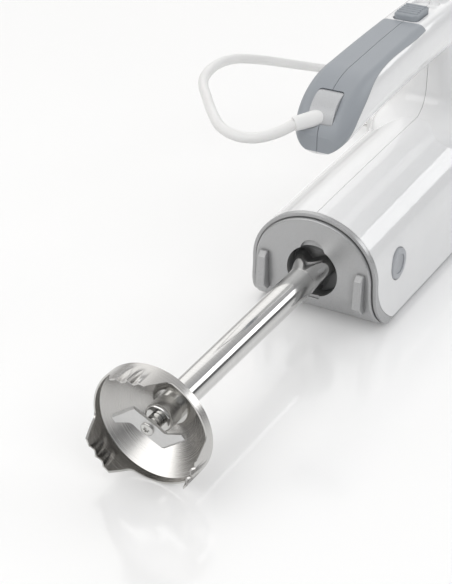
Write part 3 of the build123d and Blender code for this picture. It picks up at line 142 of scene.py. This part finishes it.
# Materials: the noise stays near its middle, and this band of it is stretched to the wanted values
NOISE_BAND = (0.3, 0.7)
GRAIN_DETAIL = 3.0
MARK_DETAIL = 4.0
DRIFT_SCALE = 35.0
DRIFT_SHADES = (0.985, 1.01)
GRAIN_STRENGTH = 0.25
MARK_SHADES = (0.95, 1.03)
MARK_STRENGTH = 0.3
PLAIN_SCALE = 400.0
PLAIN_SHADES = (0.94, 1.03)
PLAIN_GLOSS = (0.8, 1.25)


def new_material(name, colour, **sockets):
    """Principled material with plain values on its sockets. Returns it with its tree and shader."""
    material = bpy.data.materials.new(name)
    material.use_nodes = True
    tree = material.node_tree
    shader = tree.nodes["Principled BSDF"]
    shader.inputs["Base Color"].default_value = (*colour, 1)
    for key, value in sockets.items():
        shader.inputs[key.replace("_", " ")].default_value = value
    return material, tree, shader


def object_noise(tree, scale):
    """Noise in the model's own frame."""
    place = node(tree, "ShaderNodeTexCoord")
    noise = node(tree, "ShaderNodeTexNoise", Scale=scale, Detail=GRAIN_DETAIL)
    tree.links.new(place.outputs["Object"], noise.inputs["Vector"])
    return noise.outputs["Fac"]


def axis_place(tree):
    """X, Y and the height over the motor axis, in the model's own frame."""
    place = node(tree, "ShaderNodeTexCoord")
    split = node(tree, "ShaderNodeSeparateXYZ")
    tree.links.new(place.outputs["Object"], split.inputs["Vector"])
    return split.outputs["X"], split.outputs["Y"], maths(tree, "SUBTRACT", split.outputs["Z"], AXIS_Z)


def ring_noise(tree, scale, along):
    """Noise that runs in rings round the motor axis, as spun metal shows."""
    x, y, height = axis_place(tree)
    flat = node(tree, "ShaderNodeCombineXYZ")
    tree.links.new(x, flat.inputs["X"])
    tree.links.new(height, flat.inputs["Y"])
    radius = node(tree, "ShaderNodeVectorMath", operation="LENGTH")
    tree.links.new(flat.outputs["Vector"], radius.inputs[0])
    join = node(tree, "ShaderNodeCombineXYZ")
    tree.links.new(radius.outputs["Value"], join.inputs["X"])
    tree.links.new(maths(tree, "MULTIPLY", y, along), join.inputs["Y"])
    noise = node(tree, "ShaderNodeTexNoise", Scale=scale, Detail=MARK_DETAIL)
    tree.links.new(join.outputs["Vector"], noise.inputs["Vector"])
    return noise.outputs["Fac"]


def vary(tree, shader, fac, socket, low, high):
    """Drives a shader socket between two values by a texture."""
    tree.links.new(span(tree, fac, *NOISE_BAND, low, high), shader.inputs[socket])


def tint(tree, shader, fac, colour, shades):
    """Drives the base colour between two shades of a colour by a texture."""
    ramp = node(tree, "ShaderNodeValToRGB")
    for element, position, factor in zip(ramp.color_ramp.elements, NOISE_BAND, shades):
        element.position = position
        element.color = (*(min(1.0, c * factor) for c in colour), 1)
    tree.links.new(fac, ramp.inputs["Fac"])
    tree.links.new(ramp.outputs["Color"], shader.inputs["Base Color"])


def bump(tree, shader, fac, strength, distance):
    made = node(tree, "ShaderNodeBump", Strength=strength, Distance=distance)
    tree.links.new(fac, made.inputs["Height"])
    tree.links.new(made.outputs["Normal"], shader.inputs["Normal"])


def plastic(name, colour, rough, spread, grain, depth, **sockets):
    """Moulded plastic: slight colour drift, uneven gloss and a fine grain."""
    material, tree, shader = new_material(name, colour, Roughness=rough, **sockets)
    tint(tree, shader, object_noise(tree, DRIFT_SCALE), colour, DRIFT_SHADES)
    fine = object_noise(tree, grain)
    vary(tree, shader, fine, "Roughness", rough - spread, rough + spread)
    bump(tree, shader, fine, GRAIN_STRENGTH, depth)
    return material


def metal(name, colour, rough, spread, scale, along, depth, **sockets):
    """Turned or drawn metal with tool marks round the motor axis."""
    material, tree, shader = new_material(name, colour, Metallic=1.0, Roughness=rough, **sockets)
    marks = ring_noise(tree, scale, along)
    vary(tree, shader, marks, "Roughness", rough - spread, rough + spread)
    tint(tree, shader, marks, colour, MARK_SHADES)
    bump(tree, shader, marks, MARK_STRENGTH, depth)
    return material


def plain_metal(name, colour, rough):
    """Metal without tool marks, with uneven gloss."""
    material, tree, shader = new_material(name, colour, Metallic=1.0, Roughness=rough)
    fine = object_noise(tree, PLAIN_SCALE)
    vary(tree, shader, fine, "Roughness", *(rough * factor for factor in PLAIN_GLOSS))
    tint(tree, shader, fine, colour, PLAIN_SHADES)
    return material


WHITE = (0.87, 0.873, 0.877)
COAT = {"Coat_Weight": 0.5, "Coat_Roughness": 0.04}
gloss_white = plastic("gloss_white", WHITE, 0.08, 0.02, 700.0, 0.00001, **COAT)
satin_white = plastic("satin_white", (0.88, 0.88, 0.875), 0.32, 0.05, 1500.0, 0.00003)
# painted shade and reflection: the gland is white plastic, given a grey colour for the dark its sloped top
# shows
gland_painted_shade = plastic("gland_painted_shade", (0.54, 0.547, 0.56), 0.3, 0.05, 1500.0, 0.00003)
cord_white = plastic("cord_white", (0.86, 0.858, 0.85), 0.4, 0.06, 1800.0, 0.00003)
satin_silver = plastic("satin_silver", (0.47, 0.473, 0.477), 0.3, 0.04, 2600.0, 0.00003, Metallic=0.5)
base_silver = plastic("base_silver", (0.46, 0.47, 0.485), 0.42, 0.05, 2200.0, 0.00004, Metallic=0.3)
grip_grey = plastic("grip_grey", (0.33, 0.353, 0.382), 0.46, 0.06, 2400.0, 0.00006)
button_grey = plastic("button_grey", (0.44, 0.455, 0.48), 0.34, 0.05, 2400.0, 0.00003)
port_grey = plastic("port_grey", (0.18, 0.183, 0.187), 0.35, 0.08, 1600.0, 0.00005)
dark_plastic = plastic("dark_plastic", (0.03, 0.03, 0.033), 0.45, 0.08, 1600.0, 0.00005)
black_rubber = plastic("black_rubber", (0.02, 0.02, 0.02), 0.7, 0.08, 1600.0, 0.00006)
gear_ivory = plastic("gear_ivory", (0.70, 0.67, 0.58), 0.45, 0.06, 1500.0, 0.00003)
holder_brown = plastic("holder_brown", (0.12, 0.06, 0.03), 0.5, 0.06, 1200.0, 0.00004)
carbon = plastic("carbon", (0.03, 0.03, 0.03), 0.6, 0.1, 2000.0, 0.00005)
tube_steel = metal("tube_steel", (0.70, 0.695, 0.685), 0.11, 0.02, 2200.0, 0.4, 0.000002)
bell_steel = metal("bell_steel", (0.60, 0.59, 0.575), 0.24, 0.05, 3200.0, 1.0, 0.000006, Anisotropic=0.6)
hub_steel = metal("hub_steel", (0.62, 0.615, 0.60), 0.13, 0.03, 2600.0, 1.0, 0.000003)
blade_steel = plain_metal("blade_steel", (0.68, 0.68, 0.675), 0.4)
iron_steel = plain_metal("iron_steel", (0.42, 0.42, 0.43), 0.45)
pin_steel = plain_metal("pin_steel", (0.68, 0.68, 0.67), 0.22)
spring_steel = plain_metal("spring_steel", (0.62, 0.62, 0.62), 0.25)
copper_wire = metal("copper_wire", (0.62, 0.27, 0.11), 0.4, 0.1, 1400.0, 1.0, 0.00006)
copper_bar = metal("copper_bar", (0.66, 0.36, 0.2), 0.3, 0.08, 2400.0, 1.0, 0.00001)

# Dents of the bell: angles in degrees, stations where a dent starts and is deepest, depth in metres
LOBES = 3
LOBE_ANGLE = 98.0
DENT_TURN = 6.5
DENT_HALF = 7.0
DENT_STATIONS = (-168.0, -180.5)
DENT_DEPTH = 0.0022
# Painted shade in the corners and recesses of the rear cover, and how far a corner reaches, in metres
PAINTED_CORNER_SHADE = (0.16, 0.16, 0.162)
CORNER_REACH = 0.006
CORNER_SAMPLES = 8


def spin_grain(material):
    """Turns the stretched highlight round the motor axis, as on spun sheet."""
    tree = material.node_tree
    grain = node(tree, "ShaderNodeTangent", direction_type="RADIAL", axis="Y")
    tree.links.new(grain.outputs["Tangent"], tree.nodes["Principled BSDF"].inputs["Tangent"])


def press_dents(material):
    """Twin soft dents pressed into each lobe of the bell, deepest at its edge."""
    tree = material.node_tree
    x, y, height = axis_place(tree)
    turn = maths(tree, "SUBTRACT", maths(tree, "ARCTAN2", height, x), math.radians(LOBE_ANGLE))
    side = maths(tree, "ABSOLUTE", maths(tree, "WRAP", turn, math.pi / LOBES, -math.pi / LOBES))
    off = maths(tree, "ABSOLUTE", maths(tree, "SUBTRACT", side, math.radians(DENT_TURN)))
    dent = span(tree, off, 0.0, math.radians(DENT_HALF), 1.0, 0.0, smooth=True)
    edge = span(tree, y, *(row(0, station, 0).y for station in DENT_STATIONS), smooth=True)
    pressed = node(tree, "ShaderNodeBump", Strength=1.0, Distance=DENT_DEPTH)
    tree.links.new(maths(tree, "MULTIPLY", dent, edge), pressed.inputs["Height"])
    marks = tree.nodes["Principled BSDF"].inputs["Normal"].links[0].from_node
    tree.links.new(pressed.outputs["Normal"], marks.inputs["Normal"])


def paint_corner_shade(material):
    """Paints shade into the colour in narrow corners and recesses, found by ambient occlusion."""
    tree = material.node_tree
    base = tree.nodes["Principled BSDF"].inputs["Base Color"]
    corner = node(tree, "ShaderNodeAmbientOcclusion", Distance=CORNER_REACH, samples=CORNER_SAMPLES)
    join = node(tree, "ShaderNodeMixRGB", Color1=(*PAINTED_CORNER_SHADE, 1))
    tree.links.new(corner.outputs["AO"], join.inputs["Fac"])
    tree.links.new(base.links[0].from_socket, join.inputs["Color2"])
    tree.links.new(join.outputs["Color"], base)


spin_grain(bell_steel)
press_dents(bell_steel)
# painted shade: the rear cover's colour darkens in its corners and recesses
paint_corner_shade(satin_silver)

FINISH = {
    gloss_white: "housing_left housing_right",
    satin_white: "strain_relief plug_body ejector_fork",
    gland_painted_shade: "cord_gland",
    cord_white: "cord_free cord_coil",
    satin_silver: "rear_cover",
    base_silver: "base_cover",
    grip_grey: "grip_left grip_right speed_switch eject_button",
    button_grey: "release_button_left release_button_right",
    port_grey: "port_sleeve foot_head",
    dark_plastic: "rear_bracket front_bracket gear_bridge switch_module cooling_fan drive_socket cord_tie",
    black_rubber: "foot_seal",
    gear_ivory: "worm_wheel_left worm_wheel_right",
    holder_brown: "brush_holders",
    carbon: "carbon_brushes",
    tube_steel: "foot_tube",
    bell_steel: "foot_bell",
    hub_steel: "foot_bush drive_rod drive_dog blade_screw",
    blade_steel: "blade",
    iron_steel: "motor_stator armature",
    pin_steel: (
        "plug_pins beater_socket_left beater_socket_right motor_shaft worm "
        "rear_bearing front_bearing housing_screws"
    ),
    spring_steel: "button_spring_left button_spring_right eject_spring",
    copper_wire: "field_coils armature_winding",
    copper_bar: "commutator",
}


def paint(obj, material):
    if not obj.material_slots:
        obj.data.materials.append(material)
    for slot in obj.material_slots:
        slot.material = material


for material, names in FINISH.items():
    for name in names.split():
        paint(nodes[name], material)

# Lead: free stretch along the route, then the coil and the run to the plug, in millimetres
CORD_DIAMETER = 6.0
CORD_ORDER = 3
CORD_STEPS = 6
CORD_ROUNDNESS = 5
ROUTE = [
    (-12.0, -1.0, 88.5),
    (-15.6, -7.6, 85.6),
    (-30.4, -16.9, 81.4),
    (-49.4, -15.2, 82.4),
    (-65.0, 1.1, 85.2),
    (-77.0, 18.9, 80.0),
    (-102.5, 52.3, 78.6),
    (-112.5, 101.0, 71.5),
    (-113.5, 149.5, 53.0),
    (-112.0, 196.0, 33.0),
    (-104.0, 242.0, 14.0),
    (-88.0, 286.0, -5.0),
    (-64.0, 322.0, -19.0),
    (-34.0, 344.8, -27.6),
    (2.0, 345.0, -28.1),
]
COIL_CENTRE = (10.0, 302.0)
COIL_RADIUS = 43.0
COIL_PITCH = 7.0
COIL_TURNS = 3.5
COIL_START_ANGLE = 90.0
COIL_FOLD_TURN = 1.75
COIL_CLIMB_HALF = 0.25
COIL_POINTS_PER_TURN = 14
COIL_FLOOR = -28.1
# Where the lead has left the coil, its share of a layer's height there, and the straight into the plug
LEAVE_X = -12.0
LEAVE_LIFT = 0.8
PLUG_LEAD = 18.0
PLUG_X = -46.0
PLUG_HALF_THICK = 6.8


def coil_points():
    """Turns that spiral in on the floor, climb and spiral out on top."""
    made = []
    for k in range(1, round(COIL_TURNS * COIL_POINTS_PER_TURN) + 1):
        turn = k / COIL_POINTS_PER_TURN
        fold = abs(turn - COIL_FOLD_TURN)
        radius = COIL_RADIUS - COIL_PITCH * (COIL_FOLD_TURN - fold)
        climb = min(max((turn - COIL_FOLD_TURN) / (2 * COIL_CLIMB_HALF) + 0.5, 0), 1)
        angle = math.radians(COIL_START_ANGLE - 360 * turn)
        x = COIL_CENTRE[0] + radius * math.cos(angle)
        station = COIL_CENTRE[1] + radius * math.sin(angle)
        made.append((x, station, COIL_FLOOR + COIL_PITCH * climb))
    return made


def plug_points():
    """Run from the coil down to the plug."""
    near = COIL_CENTRE[1] - COIL_RADIUS
    plug_rise = PLUG_HALF_THICK - AXIS_Z * 1000
    leave = (LEAVE_X, near, COIL_FLOOR + COIL_PITCH * LEAVE_LIFT)
    return [leave, (PLUG_X + PLUG_LEAD, near, plug_rise), (PLUG_X, near, plug_rise)]


def make_cord():
    points = [row(*p) for p in ROUTE + coil_points() + plug_points()]
    curve = bpy.data.curves.new("cord", "CURVE")
    curve.dimensions = "3D"
    spline = curve.splines.new("NURBS")
    spline.points.add(len(points) - 1)
    for target, point in zip(spline.points, points):
        target.co = (*point, 1)
    spline.order_u = CORD_ORDER
    spline.use_endpoint_u = True
    spline.resolution_u = CORD_STEPS
    curve.bevel_depth = CORD_DIAMETER / 2 / 1000
    curve.bevel_resolution = CORD_ROUNDNESS
    curve.use_fill_caps = True
    cord = bpy.data.objects.new("cord", curve)
    scene.collection.objects.link(cord)
    curve.materials.append(cord_white)
    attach(cord, "housing")
    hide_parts("cord_free", "cord_coil")


make_cord()

# Screw of the blade: low round head with a star recess, in millimetres beside and along the axis
SCREW_STATION = -172.4
SCREW_STEPS = 48
SCREW_ROWS = [(1.4, 6.6), (1.4, 0.0), (3.6, 0.0), (3.6, -0.6), (3.45, -0.95), (3.1, -1.2), (2.5, -1.3)]
SCREW_SHARP_ANGLE = 40.0
STAR_POINTS = 6
STAR_RADIUS = 1.55
STAR_WAVE = 0.32
STAR_FLOOR = -0.4


def make_screw():
    angles = [2 * math.pi * k / SCREW_STEPS for k in range(SCREW_STEPS)]
    rings = [[(radius, along)] * SCREW_STEPS for radius, along in SCREW_ROWS]
    star = [STAR_RADIUS + STAR_WAVE * math.cos(STAR_POINTS * angle) for angle in angles]
    rings += [[(radius, along) for radius in star] for along in (SCREW_ROWS[-1][1], STAR_FLOOR)]
    points = [
        row(radius * math.cos(angle), SCREW_STATION + along, radius * math.sin(angle))
        for ring in rings
        for angle, (radius, along) in zip(angles, ring)
    ]
    faces = [list(range(SCREW_STEPS)), list(range(len(points) - SCREW_STEPS, len(points)))]
    for start in range(0, len(points) - SCREW_STEPS, SCREW_STEPS):
        for k in range(SCREW_STEPS):
            after = (k + 1) % SCREW_STEPS
            faces.append([start + k, start + after, start + SCREW_STEPS + after, start + SCREW_STEPS + k])
    mesh = bpy.data.meshes.new("star_screw")
    mesh.from_pydata(points, [], faces)
    made = bmesh.new()
    made.from_mesh(mesh)
    bmesh.ops.recalc_face_normals(made, faces=made.faces)
    made.to_mesh(mesh)
    made.free()
    mesh.shade_smooth()
    mesh.set_sharp_from_angle(angle=math.radians(SCREW_SHARP_ANGLE))
    mesh.materials.append(hub_steel)
    screw = bpy.data.objects.new("star_screw", mesh)
    scene.collection.objects.link(screw)
    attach(screw, "blade_drive")
    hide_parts("blade_screw")


make_screw()


def make_eject_coil():
    source = nodes["eject_spring"]
    coil = bpy.data.objects.new("eject_coil", source.data.copy())
    scene.collection.objects.link(coil)
    coil.matrix_world = source.matrix_world.copy()
    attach(coil, "housing")
    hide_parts("eject_spring")
    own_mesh(coil)


make_eject_coil()

# Floor, studio light and background
FLOOR_SIZE = 6.0
FLOOR_DROP = 0.0002
FLOOR_LIFT = 0.16
FLOOR_COLOUR = (0.84, 0.84, 0.84)
FLOOR_ROUGHNESS = 0.12
FLOOR_IOR = 1.9
WORLD_STRENGTH = 0.62
# Brightness of the studio by the height of a direction, and its tint from the left side to the right
SKY_LEVELS = [(0.0, 0.36), (0.17, 0.33), (0.25, 0.8), (0.5, 0.95), (1.0, 0.95)]
SIDE_REACH = (-0.6, 0.5)
LEFT_TINT = (1.5, 1.48, 1.45)
RIGHT_TINT = (0.72, 0.73, 0.745)
# Soft boxes: name, place, direction, size, power in watts, and whether polished pieces mirror them
LAMPS = [
    ("key", (-0.44, -1.48, 0.93), (0.44, 1.18, -0.9), (1.7, 0.8), 5.8, True),
    ("strip", (0.887, 0.95, 0.613), (-0.844, 0, -0.537), (1.4, 0.5), 4.8, True),
    ("back", (-0.55, 1.2, 0.72), (0.55, -1.3, -0.69), (1.7, 1.25), 3.3, True),
    ("fill", (-0.85, -0.3, 1.4), (0.85, 0.15, -1.36), (1.0, 1.0), 3.0, False),
    ("side", (1.3, -0.7, 0.9), (-1.3, 0.6, -0.85), (1.2, 1.2), 6.0, False),
]
# A mirror image stands this far ahead of its soft box, so that the box doesn't cover it
IMAGE_LEAD = 0.02


def seen_ray(tree):
    """One for rays of the camera, of reflections and through clear pieces, otherwise zero."""
    light = node(tree, "ShaderNodeLightPath").outputs
    shown = maths(tree, "ADD", light["Is Camera Ray"], light["Is Glossy Ray"])
    return maths(tree, "ADD", shown, light["Is Transmission Ray"], clamp=True)


def make_floor():
    mesh = bpy.data.meshes.new("floor")
    corners = [(x * FLOOR_SIZE, y * FLOOR_SIZE, 0) for x, y in ((-1, -1), (1, -1), (1, 1), (-1, 1))]
    mesh.from_pydata(corners, [], [(0, 1, 2, 3)])
    floor = bpy.data.objects.new("floor", mesh)
    floor.location.z = -FLOOR_DROP
    scene.collection.objects.link(floor)
    gloss = {"Roughness": FLOOR_ROUGHNESS, "IOR": FLOOR_IOR}
    material, tree, shader = new_material("floor_white", FLOOR_COLOUR, **gloss)
    shader.inputs["Emission Color"].default_value = (1, 1, 1, 1)
    lift = maths(tree, "MULTIPLY", seen_ray(tree), FLOOR_LIFT)
    tree.links.new(lift, shader.inputs["Emission Strength"])
    mesh.materials.append(material)


def make_world():
    world = bpy.data.worlds.new("studio")
    scene.world = world
    world.use_nodes = True
    tree = world.node_tree
    sky = tree.nodes["Background"]
    place = node(tree, "ShaderNodeTexCoord")
    split = node(tree, "ShaderNodeSeparateXYZ")
    tree.links.new(place.outputs["Generated"], split.inputs["Vector"])
    ramp = node(tree, "ShaderNodeValToRGB")
    elements = ramp.color_ramp.elements
    elements[0].position, elements[1].position = SKY_LEVELS[0][0], SKY_LEVELS[-1][0]
    for position, _ in SKY_LEVELS[1:-1]:
        elements.new(position)
    for element, (_, level) in zip(elements, SKY_LEVELS):
        element.color = (level, level, level, 1)
    tree.links.new(split.outputs["Z"], ramp.inputs["Fac"])
    sides = node(tree, "ShaderNodeMixRGB", Color1=(*LEFT_TINT, 1), Color2=(*RIGHT_TINT, 1))
    tree.links.new(span(tree, split.outputs["X"], *SIDE_REACH), sides.inputs["Fac"])
    join = node(tree, "ShaderNodeMixRGB", blend_type="MULTIPLY", Fac=1.0)
    tree.links.new(ramp.outputs["Color"], join.inputs["Color1"])
    tree.links.new(sides.outputs["Color"], join.inputs["Color2"])
    tree.links.new(join.outputs["Color"], sky.inputs["Color"])
    sky.inputs["Strength"].default_value = WORLD_STRENGTH


def soft_box(name, place, way, size, power):
    data = bpy.data.lights.new(name, "AREA")
    data.shape = "RECTANGLE"
    data.size, data.size_y = size
    data.energy = power
    made = bpy.data.objects.new(name, data)
    scene.collection.objects.link(made)
    made.location = place
    made.rotation_euler = Vector(way).to_track_quat("-Z", "Y").to_euler()
    return made


def lamp(name, place, way, size, power, mirrored, mirrors):
    """Soft box that faces along a direction. Its image shows in the mirrors, which leave out the floor."""
    soft_box(name, place, way, size, power).visible_glossy = False
    if mirrored:
        ahead = Vector(place) + IMAGE_LEAD * Vector(way).normalized()
        image = soft_box(name + "_image", ahead, way, size, power)
        image.visible_diffuse = False
        image.light_linking.receiver_collection = mirrors


off_floor = bpy.data.collections.new("off_floor")
for piece in scene.objects:
    if piece.type in ("MESH", "CURVE"):
        off_floor.objects.link(piece)
make_floor()
make_world()
for facts in LAMPS:
    lamp(*facts, off_floor)
